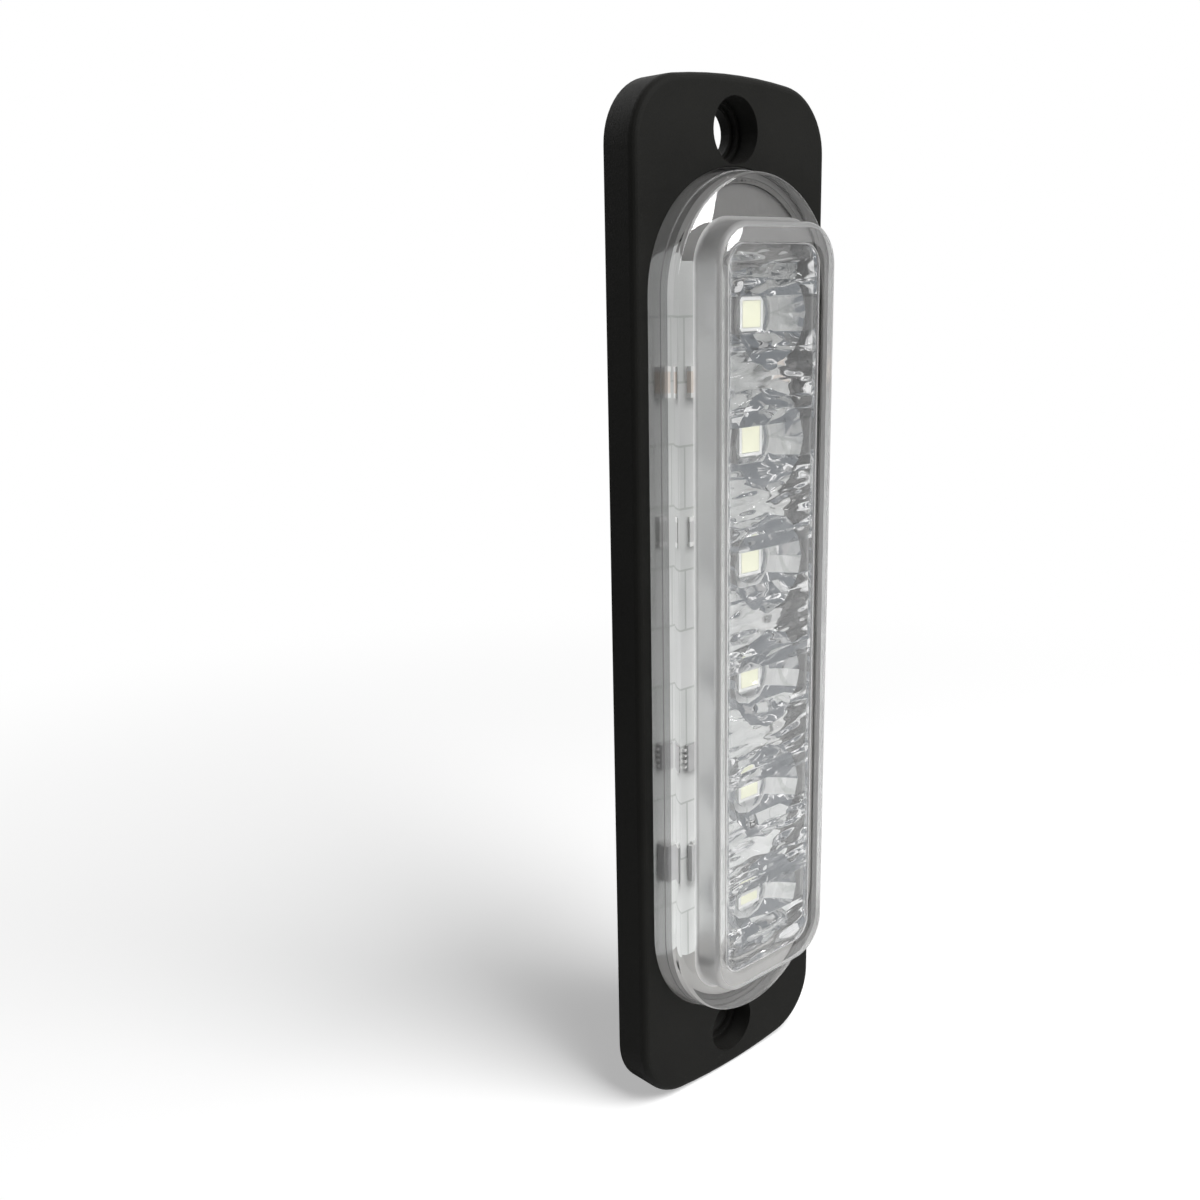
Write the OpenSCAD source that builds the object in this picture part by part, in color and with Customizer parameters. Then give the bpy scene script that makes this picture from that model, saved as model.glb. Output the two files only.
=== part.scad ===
// Slim surface-mount LED lamp pod for a vehicle: a black moulded base with a screw hole at each end,
// a clear stepped cover, and under it a strip of collimators over a row of LEDs on one board.
// Each piece is drawn with the pod lying on its back, then stood upright: X runs across the pod,
// Z along it, and it faces -Y. The origin is the middle of the back face, between the screw holes.

/* [Base] */
// Length of the base along its middle
base_l = 114; // [110:1:124]
// Width of the base
base_w = 29.5; // [28.5:0.5:34]
// Thickness of the base, back face to front face
base_t = 4.5; // [4.3:0.1:6]
// Radius of the four corners, seen from the front
corner_r = 6.9; // [5:0.1:9]
// Radius of the bowed ends, seen from the front
end_bow_r = 73; // [62:1:120]
// Radius of the rounded front edge
edge_r = 0.8; // [0.4:0.1:1.2]
// Chamfer of the back edge
back_edge = 0.25; // [0.1:0.05:0.4]
// Thickness of the floor behind the board
floor_t = 1.2; // [1:0.1:1.4]

/* [Screw holes] */
// Distance of each screw hole from the end of the base
screw_inset = 5.5; // [5.2:0.1:6.5]
// Diameter of the screw hole
screw_hole_d = 5.2; // [4.5:0.1:5.4]
// Diameter of the seat step at the bottom of the head bore
screw_seat_d = 6; // [5.7:0.1:6.3]
// Diameter of the head bore
head_bore_d = 6.8; // [6.6:0.1:7.2]
// Length of the screw hole's wall
screw_land = 1.2; // [1:0.1:1.6]
// Height of the seat step
seat_step = 0.7; // [0.4:0.1:1]
// Wall between the head bore and the recess of the cover
screw_web = 0.25; // [0.2:0.05:0.6]

/* [Core-outs in the back] */
// Depth of the core-outs
core_depth = 2.8; // [1:0.1:3]
// Wall left along the outside of the base
rim_wall = 1.6; // [1.2:0.1:2]
// Wall left around each head bore and around the recess
boss_wall = 1.2; // [1:0.1:1.5]

/* [Clear cover] */
// Width of the cover's flange
cover_w = 25.2; // [24.8:0.1:25.6]
// Gap between the cover and the wall of its recess
rim_gap = 0.3; // [0.2:0.05:0.5]
// Chamfer on the edge of the recess
rim_chamfer = 0.15; // [0.1:0.05:0.2]
// Depth of the ledge that the cover stands on
ledge_depth = 1.5; // [1.2:0.1:1.6]
// Height of the flange above the base's front face
flange_h = 3.2; // [3:0.1:4]
// Height of the raised block above the flange
block_h = 2.9; // [2.6:0.1:3.4]
// Distance of the block from the sides of the flange
block_side = 3.15; // [2.9:0.05:3.4]
// Distance of the block from the ends of the flange
block_end = 5.15; // [4.4:0.05:6]
// Radius of the block's corners, seen from the front
block_corner_r = 4.6; // [3.6:0.1:5]
// Radius of the block's front edge
block_edge_r = 0.6; // [0.3:0.1:0.9]
// Radius of the fillet where the block meets the flange
block_fillet_r = 0.4; // [0.2:0.1:0.6]
// Radius of the flange's front edge
flange_edge_r = 0.4; // [0.2:0.1:0.6]
// Height of the parting step above the base's front face
parting_h = 1.25; // [0.6:0.05:1.6]
// Width of the parting step
parting_step = 0.12; // [0.06:0.02:0.2]
// How far each outer wall leans in over its height
cover_draft = 0.12; // [0.05:0.01:0.2]
// Thickness of the skirt that runs round the back of the flange
flange_wall = 1.2; // [1.1:0.1:1.4]
// Thickness of the flange's solid front part
flange_front_t = 3.1; // [2.9:0.1:3.2]
// Thickness of the block's side walls
block_wall = 2.2; // [1.6:0.1:2.4]
// Thickness of the block's front wall
block_front_t = 1.1; // [0.9:0.1:1.4]
// Radius of the hollow's inner edges
hollow_edge_r = 0.3; // [0.1:0.1:0.5]

/* [Collimator strip] */
// Gap between the strip and the side walls of the block
optic_side_gap = 0.45; // [0.3:0.05:0.8]
// Gap between the strip and the end walls of the block
optic_end_gap = 0.2; // [0.1:0.05:0.6]
// Gap between the strip and the front wall of the block
optic_front_gap = 0.1; // [0.05:0.05:0.3]
// Radius of the strip's corners, seen from the front
optic_corner_r = 2; // [1:0.1:2.5]
// Thickness of the plate that joins the collimators
optic_plate_t = 0.9; // [0.7:0.1:1.4]
// Margin between the end collimators' share of the strip and its ends
optic_margin = 0.4; // [0.2:0.1:0.8]
// Number of flat facets round each collimator
horn_facets = 12; // [8:1:12]
// Radius of a collimator's corners at its front
horn_front_r = 5.5; // [5:0.1:6.2]
// Radius of a collimator's corners at its back
horn_back_r = 3.4; // [3.2:0.1:3.8]
// Gap between the back of each collimator and the board
horn_gap = 0.3; // [0.2:0.05:0.5]
// Radius of the hollow over an LED
hollow_r = 2.6; // [2.55:0.05:2.8]
// Height of the lens that bulges into the hollow
bulge_h = 0.08; // [0.04:0.02:0.12]
// Thickness of the strip's feet
foot_t = 1.2; // [1.1:0.1:1.6]
// Width of the strip's feet
foot_w = 8; // [5:0.5:9]
// Distance of the feet from the ends of the strip
foot_inset = 2; // [1.6:0.1:2.4]
// Radius of the locating pin under each foot
pin_r = 0.45; // [0.3:0.05:0.5]
// Gap around each locating pin
pin_gap = 0.1; // [0.05:0.05:0.2]

/* [Board] */
// Gap between the board and the sides of its pocket
board_side_gap = 0.9; // [0.7:0.05:1.4]
// Length of the board past the strip's feet
board_past_foot = 0.5; // [0.2:0.1:0.8]
// Thickness of the board
board_t = 1.2; // [1:0.1:1.4]
// Radius of the board's corners
board_corner_r = 2; // [1.5:0.1:3]
// Thickness of the heat-conducting pad under the board
pad_t = 0.3; // [0.2:0.05:0.4]
// Distance of the resin's surface below the board's front face
resin_drop = 0.2; // [0.1:0.05:0.4]
// Gap between pieces that are set into one another
set_gap = 0.04; // [0.02:0.01:0.08]

/* [LEDs] */
// Number of LEDs, each under its own collimator
led_count = 6; // [5:1:6]
// Width and length of an LED package
led_w = 3.5; // [3:0.1:3.6]
// Height of an LED package
led_h = 0.75; // [0.6:0.05:0.9]
// Wall of the package around the phosphor
led_wall = 0.35; // [0.25:0.05:0.6]
// Depth of the phosphor
phosphor_t = 0.3; // [0.2:0.05:0.45]
// Cut corner that marks one terminal of the package
led_mark = 0.4; // [0.2:0.1:0.6]
// Gap between an LED and the collimator in front of it
led_gap = 0.3; // [0.2:0.05:0.5]

/* [Components] */
// Distance of the component rows from the sides of the board
row_inset = 3; // [2.7:0.1:3.2]
// Length of a large chip resistor or capacitor
chip_l = 3.2; // [2.8:0.1:3.4]
// Width of a large chip resistor or capacitor
chip_w = 1.6; // [1.2:0.1:1.8]
// Height of a chip resistor
resistor_h = 0.6; // [0.4:0.05:0.8]
// Height of a chip capacitor
capacitor_h = 1.2; // [0.8:0.1:1.3]
// Length of the input capacitor
input_cap_l = 4.5; // [4:0.1:4.8]
// Width of the input capacitor
input_cap_w = 2.4; // [2:0.1:2.6]
// Height of the input capacitor
input_cap_h = 1.4; // [1:0.1:1.6]
// Length of the metal ends of a chip
chip_end = 0.5; // [0.3:0.1:0.7]
// Body length and width of a current regulator
regulator_w = 3; // [2.6:0.1:3.2]
// Height of a current regulator
regulator_h = 1; // [0.8:0.1:1.2]
// Length of the polarity diode's body
diode_l = 4.3; // [4:0.1:4.6]
// Width of the polarity diode's body
diode_w = 2.6; // [2.3:0.1:2.8]
// Height of the polarity diode
diode_h = 1.5; // [1.2:0.1:1.6]

/* [Seal and cable inlet] */
// Width of the sealing bead
seal_w = 0.7; // [0.6:0.05:0.8]
// Depth of the groove that holds the sealing bead
seal_t = 0.6; // [0.4:0.1:0.8]
// Distance of the sealing bead from the wall of the recess
seal_inset = 0.4; // [0.35:0.05:0.5]
// Radius of the cable bore
cable_r = 1.8; // [1.4:0.1:2]
// Wall of the grommet around the cable
grommet_wall = 0.6; // [0.5:0.1:0.7]
// Width of the grommet's inner collar
collar_w = 0.7; // [0.4:0.1:0.7]
// Thickness of the grommet's inner collar
collar_t = 0.6; // [0.4:0.1:0.7]
// Chamfer on the edge of the collar
collar_chamfer = 0.15; // [0.1:0.05:0.25]

/* [Hidden] */
$fn = 72;
over = 1; // how far a cutting shape runs past the face it cuts
round_steps = 5; // straight steps along each small rounded edge
horn_steps = 5; // straight steps along the curve of a collimator

// Outline of the base
bow_y = base_l / 2 - end_bow_r;
corner_x = base_w / 2 - corner_r;
corner_y = bow_y + sqrt(pow(end_bow_r - corner_r, 2) - pow(corner_x, 2));

// Screw holes, recess and pocket
screw_y = base_l / 2 - screw_inset;
recess_l = 2 * (screw_y - head_bore_d / 2 - screw_web);
recess_w = cover_w + 2 * rim_gap;
ledge_z = base_t - ledge_depth;
pocket_step = 0.1;
pocket_w = cover_w - 2 * (flange_wall + pocket_step);
pocket_l = recess_l - (recess_w - pocket_w);

// Cover
cover_l = recess_l - 2 * rim_gap;
flange_z = base_t + flange_h;
flange_in_z = flange_z - flange_front_t;
block_z = flange_z + block_h;
block_in_z = block_z - block_front_t;
block_w = cover_w - 2 * block_side;
block_l = cover_l - 2 * block_end;

// Board
board_w = pocket_w - 2 * board_side_gap;
board_bottom_z = floor_t + pad_t;
board_z = board_bottom_z + board_t;
resin_z = board_z - resin_drop;

// Collimator strip
optic_w = block_w - 2 * (block_wall + optic_side_gap);
optic_l = block_l - 2 * (block_wall + optic_end_gap);
optic_z = block_in_z - optic_front_gap;
plate_z = optic_z - optic_plate_t;
horn_z = board_z + horn_gap;
hollow_z = board_z + led_h + led_gap;
led_pitch = (optic_l - 2 * optic_margin) / led_count;
foot_y = optic_l / 2 - foot_inset - foot_t / 2;
board_l = 2 * (foot_y + foot_t / 2 + board_past_foot);

// Seal and cable inlet
seal_outer_w = recess_w - 2 * seal_inset;
seal_outer_l = recess_l - 2 * seal_inset;
grommet_r = cable_r + grommet_wall;
grommet_z = floor_t + collar_t;
grommet_y = (board_l + pocket_l) / 4;

// Component rows
row_x = board_w / 2 - row_inset;

LED_NODES = [for (i = [1:led_count]) str("led_", i)];
PHOSPHOR_NODES = [for (i = [1:led_count]) str("phosphor_", i)];

// LEDs are numbered from the top of the pod down
function led_y(i) = ((led_count + 1) / 2 - i) * led_pitch;

// A place between LED i and the next one, as a share of the way down
function past_led(i, share) = led_y(i) - share * led_pitch;

// Steps of a rounded edge that starts at an inset and ends on a face at height top
function round_over(inset, top, r) =
    [for (i = [0:round_steps]) let (a = 90 * i / round_steps)
        [inset + r * (1 - cos(a)), top - r + r * sin(a)]];

// Steps of a fillet that starts on a face at height bottom and ends at an inset
function round_up(inset, bottom, r) =
    [for (i = [0:round_steps]) let (a = 90 * i / round_steps)
        [inset - r + r * sin(a), bottom + r - r * cos(a)]];

function first_z(profile) = profile[0][1];
function last_z(profile) = profile[len(profile) - 1][1];

// Half section of a round piece of radius r, whose side runs through [inset, height] points
function turned(r, profile) =
    concat([[0, first_z(profile)]], [for (p = profile) [r - p[0], p[1]]], [[0, last_z(profile)]]);

// Full section of a bar of half width w, whose sides run through [inset, height] points
function barred(w, profile) =
    let (last = len(profile) - 1)
    concat([for (p = profile) [w - p[0], p[1]]],
           [for (i = [last:-1:0]) [profile[i][0] - w, profile[i][1]]]);

// Stands a piece that was drawn lying on its back upright, facing -Y
module upright() rotate([90, 0, 0]) children();

// A bar along Y with the section points
module bar_y(l, points) rotate([90, 0, 0]) translate([0, 0, -l / 2]) linear_extrude(l) polygon(points);

// A bar along X with the section points
module bar_x(l, points) rotate([90, 0, 90]) translate([0, 0, -l / 2]) linear_extrude(l) polygon(points);

// Slab with a rounded rectangle for a plan, and a side that runs through [inset, height] points
module rounded_slab(l, w, r, profile) {
    sides = w > 2 * r ? [-1, 1] : [0];
    for (sx = sides, sy = [-1, 1])
        translate([sx * (w / 2 - r), sy * (l / 2 - r), 0]) rotate_extrude() polygon(turned(r, profile));
    bar_y(l - 2 * r, barred(w / 2, profile));
    if (w > 2 * r) bar_x(w - 2 * r, barred(l / 2, profile));
}

// Slab with round ends
module stadium(l, w, profile) rounded_slab(l, w, w / 2, profile);

// Slab with the outline of the base: straight sides, round corners and bowed ends
module bowed_slab(profile) {
    reach = 1.15 * end_bow_r / (end_bow_r - corner_r);
    for (sx = [-1, 1], sy = [-1, 1])
        translate([sx * corner_x, sy * corner_y, 0]) rotate_extrude() polygon(turned(corner_r, profile));
    bar_y(2 * corner_y, barred(base_w / 2, profile));
    for (s = [-1, 1])
        translate([0, s * bow_y, 0]) intersection() {
            rotate_extrude($fn = 360) polygon(turned(end_bow_r, profile));
            translate([0, 0, first_z(profile) - over])
                linear_extrude(last_z(profile) - first_z(profile) + 2 * over)
                    polygon([[0, 0], [reach * corner_x, s * reach * (corner_y - bow_y)],
                             [-reach * corner_x, s * reach * (corner_y - bow_y)]]);
        }
}

// Stepped bore for a screw: its hole, the seat step and the head bore
module screw_bore() {
    bottom = screw_land + seat_step;
    rotate_extrude() polygon([
        [0, -over], [screw_hole_d / 2, -over], [screw_hole_d / 2, screw_land],
        [screw_seat_d / 2, screw_land], [screw_seat_d / 2, bottom],
        [head_bore_d / 2, bottom], [head_bore_d / 2, base_t + over], [0, base_t + over]]);
}

// Core-outs that leave even walls along the base's sides, around the recess and around each bore
module core_outs() difference() {
    bowed_slab([[rim_wall, -over], [rim_wall, core_depth]]);
    stadium(recess_l + 2 * boss_wall, recess_w + 2 * boss_wall, [[0, -2 * over], [0, core_depth + over]]);
    for (s = [-1, 1]) translate([0, s * screw_y, -2 * over])
        cylinder(h = core_depth + 3 * over, r = head_bore_d / 2 + boss_wall);
}

// Ring of rectangular section with round ends, for the sealing bead and its groove
module seal_ring(gap, bottom, top) difference() {
    stadium(seal_outer_l - 2 * gap, seal_outer_w - 2 * gap, [[0, bottom], [0, top]]);
    stadium(seal_outer_l - 2 * (seal_w - gap), seal_outer_w - 2 * (seal_w - gap),
            [[0, bottom - over], [0, top + over]]);
}

// Black moulded base: recess and ledge for the cover, pocket for the board, screw bores, cable hole
module housing() color([0.10, 0.10, 0.10]) upright() difference() {
    bowed_slab(concat([[back_edge, 0], [0, back_edge]], round_over(0, base_t, edge_r)));
    stadium(recess_l, recess_w,
            [[0, ledge_z], [0, base_t - rim_chamfer], [-rim_chamfer, base_t], [-rim_chamfer, base_t + over]]);
    stadium(pocket_l, pocket_w, [[0, floor_t], [0, ledge_z + over]]);
    seal_ring(0, ledge_z - seal_t, ledge_z + over);
    for (s = [-1, 1]) translate([0, s * screw_y, 0]) screw_bore();
    core_outs();
    translate([0, grommet_y, -over]) cylinder(h = floor_t + 2 * over, r = grommet_r + set_gap);
}

// Clear cover: a flange with round ends, and a raised block with rounded edges, both hollow behind
module lens_cover() color([0.85, 0.90, 0.93, 0.35]) upright() difference() {
    union() {
        stadium(cover_l, cover_w, concat(
            [[0, ledge_z], [0, base_t + parting_h], [parting_step, base_t + parting_h]],
            round_over(parting_step + cover_draft, flange_z, flange_edge_r)));
        rounded_slab(block_l, block_w, block_corner_r, concat(
            [[-block_fillet_r, flange_in_z]], round_up(0, flange_z, block_fillet_r),
            round_over(cover_draft, block_z, block_edge_r)));
    }
    stadium(cover_l - 2 * flange_wall, cover_w - 2 * flange_wall, concat(
        [[0, ledge_z - over]], round_over(0, flange_in_z, hollow_edge_r)));
    rounded_slab(block_l - 2 * block_wall, block_w - 2 * block_wall, block_corner_r - block_wall, concat(
        [[0, flange_in_z - over]], round_over(0, block_in_z, hollow_edge_r)));
}

// Solid horn of one collimator, a parabola from its small back to its wide front
module horn() {
    wide = pow(horn_front_r, 2) - pow(horn_back_r, 2);
    side = [for (i = [0:horn_steps])
        let (r = horn_back_r + (horn_front_r - horn_back_r) * i / horn_steps)
        [r, horn_z + (plate_z - horn_z) * (pow(r, 2) - pow(horn_back_r, 2)) / wide]];
    top = plate_z + optic_plate_t / 2;
    rotate_extrude($fn = horn_facets) polygon(concat([[0, horn_z]], side, [[horn_front_r, top], [0, top]]));
}

// Hollow in the back of a collimator, with the lens that bulges into it
module horn_hollow() {
    lens = [for (i = [0:round_steps]) let (s = 1 - i / round_steps)
        [hollow_r * s, hollow_z - bulge_h * (1 - pow(s, 2))]];
    rotate_extrude() polygon(concat([[0, horn_z - over], [hollow_r, horn_z - over]], lens));
}

// Clear moulded strip of collimators under one front plate, standing on two feet with locating pins
module optic_strip() color([0.93, 0.95, 0.97, 0.45]) upright() {
    difference() {
        union() {
            rounded_slab(optic_l, optic_w, optic_corner_r, [[0, plate_z], [0, optic_z]]);
            for (i = [1:led_count]) translate([0, led_y(i), 0]) horn();
            for (s = [-1, 1]) translate([-foot_w / 2, s * foot_y - foot_t / 2, board_z])
                cube([foot_w, foot_t, plate_z - board_z + optic_plate_t / 2]);
            for (s = [-1, 1]) translate([0, s * foot_y, board_z - 0.8 * board_t])
                cylinder(h = board_t, r = pin_r);
        }
        for (i = [1:led_count]) translate([0, led_y(i), 0]) horn_hollow();
    }
}

// Metal-core board with a hole for each locating pin
module circuit_board() color([0.80, 0.81, 0.80]) upright() difference() {
    rounded_slab(board_l, board_w, board_corner_r, [[0, board_bottom_z], [0, board_z]]);
    for (s = [-1, 1]) translate([0, s * foot_y, board_bottom_z - over])
        cylinder(h = board_t + 2 * over, r = pin_r + pin_gap);
}

// Soft pad that takes heat from the board to the floor of the base
module thermal_pad() color([0.45, 0.50, 0.55]) upright()
    rounded_slab(board_l, board_w, board_corner_r, [[0, floor_t], [0, board_bottom_z]]);

// Grey resin poured around the board and over the grommet, where it closes the cable's inlet
module potting_resin() color([0.42, 0.42, 0.42]) upright() difference() {
    stadium(pocket_l - 2 * set_gap, pocket_w - 2 * set_gap, [[0, floor_t], [0, resin_z]]);
    rounded_slab(board_l + 2 * set_gap, board_w + 2 * set_gap, board_corner_r + set_gap,
                 [[0, floor_t - over], [0, resin_z + over]]);
    translate([0, grommet_y, floor_t - over])
        cylinder(h = collar_t + set_gap + over, r = grommet_r + collar_w + set_gap);
}

// Bead that seals the cover to the base, in a groove of the ledge
module lens_seal() color([0.15, 0.15, 0.16]) upright() seal_ring(set_gap, ledge_z - seal_t, ledge_z);

// Rubber grommet in the floor of the base: a neck, an inner collar and the cable bore
module cable_grommet() color([0.12, 0.12, 0.12]) upright() translate([0, grommet_y, 0]) {
    collar_r = grommet_r + collar_w;
    rotate_extrude() polygon([
        [cable_r, 0], [grommet_r, 0], [grommet_r, floor_t], [collar_r, floor_t],
        [collar_r, grommet_z - collar_chamfer], [collar_r - collar_chamfer, grommet_z],
        [cable_r, grommet_z]]);
}

// White LED package with one cut corner and a square well for its phosphor
module led(i) color([0.93, 0.93, 0.90]) upright() translate([0, led_y(i), board_z]) {
    h = led_w / 2;
    well = led_w - 2 * led_wall;
    difference() {
        linear_extrude(led_h) polygon([[-h, -h], [h, -h], [h, h - led_mark], [h - led_mark, h], [-h, h]]);
        translate([-well / 2, -well / 2, led_h - phosphor_t]) cube([well, well, phosphor_t + over]);
    }
}

// Yellow phosphor that fills the well of an LED
module phosphor(i) color([0.95, 0.93, 0.62]) upright() {
    well = led_w - 2 * (led_wall + set_gap);
    translate([-well / 2, led_y(i) - well / 2, board_z + led_h - phosphor_t]) cube([well, well, phosphor_t]);
}

// Chip resistor or capacitor: a body between two metal ends, long side along Y
module chip(l, w, h) {
    skin = 0.04;
    body_w = w - 2 * skin;
    translate([-body_w / 2, -l / 2 + skin, 0]) cube([body_w, l - 2 * skin, h - skin]);
    for (s = [-1, 1]) translate([-w / 2, s * (l - chip_end) / 2 - chip_end / 2, 0])
        cube([w, chip_end, h]);
}

// Body whose sides lean in from the parting line at half height, long side along Y
module moulded_body(l, w, bottom, top) {
    lean = 0.1;
    middle = (bottom + top) / 2;
    bar_y(l, [[-w / 2 + lean, bottom], [w / 2 - lean, bottom], [w / 2, middle],
              [w / 2 - lean, top], [-w / 2 + lean, top], [-w / 2, middle]]);
}

// Current regulator: a square body with four bent leads on each side
module regulator() {
    lead_w = 0.3;
    lead_t = 0.15;
    stand = 0.1;
    reach = 0.9;
    lead_pitch = regulator_w / 4.6;
    shoulder = regulator_h / 2;
    moulded_body(regulator_w, regulator_w, stand, regulator_h);
    for (turn = [0, 180], i = [-1.5:1.5])
        rotate([0, 0, turn]) translate([regulator_w / 2, i * lead_pitch, 0])
            rotate([90, 0, 0]) translate([0, 0, -lead_w / 2]) linear_extrude(lead_w) polygon([
                [-lead_t, shoulder], [lead_t, shoulder], [2 * lead_t, 0], [reach, 0], [reach, lead_t],
                [3 * lead_t, lead_t], [2 * lead_t, shoulder + lead_t], [-lead_t, shoulder + lead_t]]);
}

// Diode against reversed polarity: a block body with a bent strap at each end
module diode() {
    strap_w = 1.4;
    strap_t = 0.2;
    moulded_body(diode_l, diode_w, strap_t, diode_h);
    for (s = [-1, 1]) translate([-strap_w / 2, s * (diode_l + strap_t) / 2 - strap_t / 2, 0])
        cube([strap_w, strap_t, diode_h * 0.6]);
    for (s = [-1, 1]) translate([-strap_w / 2, s * (diode_l / 2 - strap_w / 2) - strap_w / 2, 0])
        cube([strap_w, strap_w, strap_t]);
}

// Puts a component on the board, turned about its own middle
module on_board(x, y, turn = 0) upright() translate([x, y, board_z]) rotate([0, 0, turn]) children();

module input_capacitor() chip(input_cap_l, input_cap_w, input_cap_h);
module small_capacitor() chip(chip_l, chip_w, capacitor_h);
module resistor() chip(chip_l, chip_w, resistor_h);

module regulator_1() color([0.40, 0.40, 0.40]) on_board(-row_x, past_led(4, 0.6)) regulator();
module regulator_2() color([0.40, 0.40, 0.40]) on_board(row_x, past_led(3, 0.5)) regulator();
module polarity_diode() color([0.40, 0.40, 0.40]) on_board(-row_x, past_led(5, 0.55)) diode();
module capacitor_1() color([0.72, 0.60, 0.50]) on_board(row_x, past_led(1, 0.5), 90) input_capacitor();
module capacitor_2() color([0.72, 0.60, 0.50]) on_board(-row_x, past_led(1, 0.5)) small_capacitor();
module resistor_1() color([0.48, 0.48, 0.48]) on_board(-row_x, past_led(2, 0.69)) resistor();
module resistor_2() color([0.48, 0.48, 0.48]) on_board(row_x, past_led(2, 0.5)) resistor();
module resistor_3() color([0.48, 0.48, 0.48]) on_board(row_x, past_led(4, 0.5)) resistor();
module resistor_4() color([0.48, 0.48, 0.48]) on_board(row_x, past_led(4, 0.8)) resistor();

housing();
lens_cover();
optic_strip();
circuit_board();
thermal_pad();
potting_resin();
lens_seal();
cable_grommet();
regulator_1();
regulator_2();
polarity_diode();
capacitor_1();
capacitor_2();
resistor_1();
resistor_2();
resistor_3();
resistor_4();
for (i = [1:led_count]) led(i);
for (i = [1:led_count]) phosphor(i);
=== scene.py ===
import math

import bmesh
import bpy
from mathutils import Matrix, Vector


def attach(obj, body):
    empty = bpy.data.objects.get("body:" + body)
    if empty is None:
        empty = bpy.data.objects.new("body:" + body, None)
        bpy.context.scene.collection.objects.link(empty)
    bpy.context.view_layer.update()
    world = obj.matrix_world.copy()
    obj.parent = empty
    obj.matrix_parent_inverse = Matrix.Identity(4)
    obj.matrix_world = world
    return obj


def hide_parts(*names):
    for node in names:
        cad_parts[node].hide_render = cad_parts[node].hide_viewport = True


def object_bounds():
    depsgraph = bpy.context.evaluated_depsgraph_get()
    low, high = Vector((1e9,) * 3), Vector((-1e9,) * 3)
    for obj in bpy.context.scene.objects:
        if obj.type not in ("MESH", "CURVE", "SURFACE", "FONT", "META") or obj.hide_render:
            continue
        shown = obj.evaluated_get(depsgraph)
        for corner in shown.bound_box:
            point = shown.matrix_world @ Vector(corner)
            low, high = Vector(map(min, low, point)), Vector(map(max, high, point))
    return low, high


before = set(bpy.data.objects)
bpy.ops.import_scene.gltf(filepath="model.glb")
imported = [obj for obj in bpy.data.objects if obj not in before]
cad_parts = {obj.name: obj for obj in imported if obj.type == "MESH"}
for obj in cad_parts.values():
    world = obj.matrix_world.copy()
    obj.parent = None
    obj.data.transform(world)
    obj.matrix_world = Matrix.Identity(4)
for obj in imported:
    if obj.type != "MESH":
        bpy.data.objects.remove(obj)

cad_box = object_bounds()

# Camera: stands 150 mm from the pod's middle, in front of it, to its left and a little above, and looks
# down at it by 14 degrees, as the photograph was taken.
camera_data = bpy.data.cameras.new("camera")
camera_data.sensor_width = 36.0
camera_data.lens = 39.22
camera_data.clip_start = 0.005
camera = bpy.data.objects.new("camera", camera_data)
camera.location = (-0.10682, -0.09981, 0.03683)
camera.rotation_euler = (math.radians(76.228), math.radians(1.130), math.radians(-42.518))
bpy.context.scene.collection.objects.link(camera)
bpy.context.scene.camera = camera

# Floor: a plain white studio floor under the pod's bowed lower end. Near the pod it keeps the pod's
# shadow; a little way off it turns into the plain white of the background.
FLOOR_R = 6.0
FLOOR_WHITE = (0.80, 0.80, 0.80, 1)
FLOOR_GLOW = 0.41
PLAIN_FROM, PLAIN_TO = 0.08, 0.24

floor_mesh = bpy.data.meshes.new("floor")
floor_bm = bmesh.new()
bmesh.ops.create_circle(floor_bm, cap_ends=True, segments=96, radius=FLOOR_R)
bmesh.ops.translate(floor_bm, verts=floor_bm.verts, vec=(0, 0, cad_box[0][2]))
floor_bm.to_mesh(floor_mesh)
floor_bm.free()
floor = bpy.data.objects.new("floor", floor_mesh)
bpy.context.scene.collection.objects.link(floor)
floor_paint = bpy.data.materials.new("floor_paint")
floor_paint.use_nodes = True
nodes, links = floor_paint.node_tree.nodes, floor_paint.node_tree.links
nodes.clear()
paint = nodes.new("ShaderNodeBsdfDiffuse")
paint.inputs["Color"].default_value = FLOOR_WHITE
ray = nodes.new("ShaderNodeLightPath")
seen = nodes.new("ShaderNodeMath")
seen.operation = "MAXIMUM"
place = nodes.new("ShaderNodeTexCoord")
distance = nodes.new("ShaderNodeVectorMath")
distance.operation = "LENGTH"
plainness = nodes.new("ShaderNodeMapRange")
plainness.interpolation_type = "SMOOTHSTEP"
plainness.inputs["From Min"].default_value = PLAIN_FROM
plainness.inputs["From Max"].default_value = PLAIN_TO
far = nodes.new("ShaderNodeMath")
far.operation = "MULTIPLY"
glow = nodes.new("ShaderNodeEmission")
glow_level = nodes.new("ShaderNodeMath")
glow_level.operation = "MULTIPLY"
glow_level.inputs[1].default_value = FLOOR_GLOW
near = nodes.new("ShaderNodeAddShader")
plain_white = nodes.new("ShaderNodeEmission")
near_or_far = nodes.new("ShaderNodeMixShader")
out = nodes.new("ShaderNodeOutputMaterial")
links.new(ray.outputs["Is Camera Ray"], seen.inputs[0])
links.new(ray.outputs["Is Transmission Ray"], seen.inputs[1])
links.new(place.outputs["Object"], distance.inputs[0])
links.new(distance.outputs["Value"], plainness.inputs["Value"])
links.new(plainness.outputs[0], far.inputs[0])
links.new(seen.outputs[0], far.inputs[1])
links.new(seen.outputs[0], glow_level.inputs[0])
links.new(glow_level.outputs[0], glow.inputs["Strength"])
links.new(paint.outputs[0], near.inputs[0])
links.new(glow.outputs[0], near.inputs[1])
links.new(far.outputs[0], near_or_far.inputs[0])
links.new(near.outputs[0], near_or_far.inputs[1])
links.new(plain_white.outputs[0], near_or_far.inputs[2])
links.new(near_or_far.outputs[0], out.inputs["Surface"])
floor.data.materials.append(floor_paint)

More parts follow.
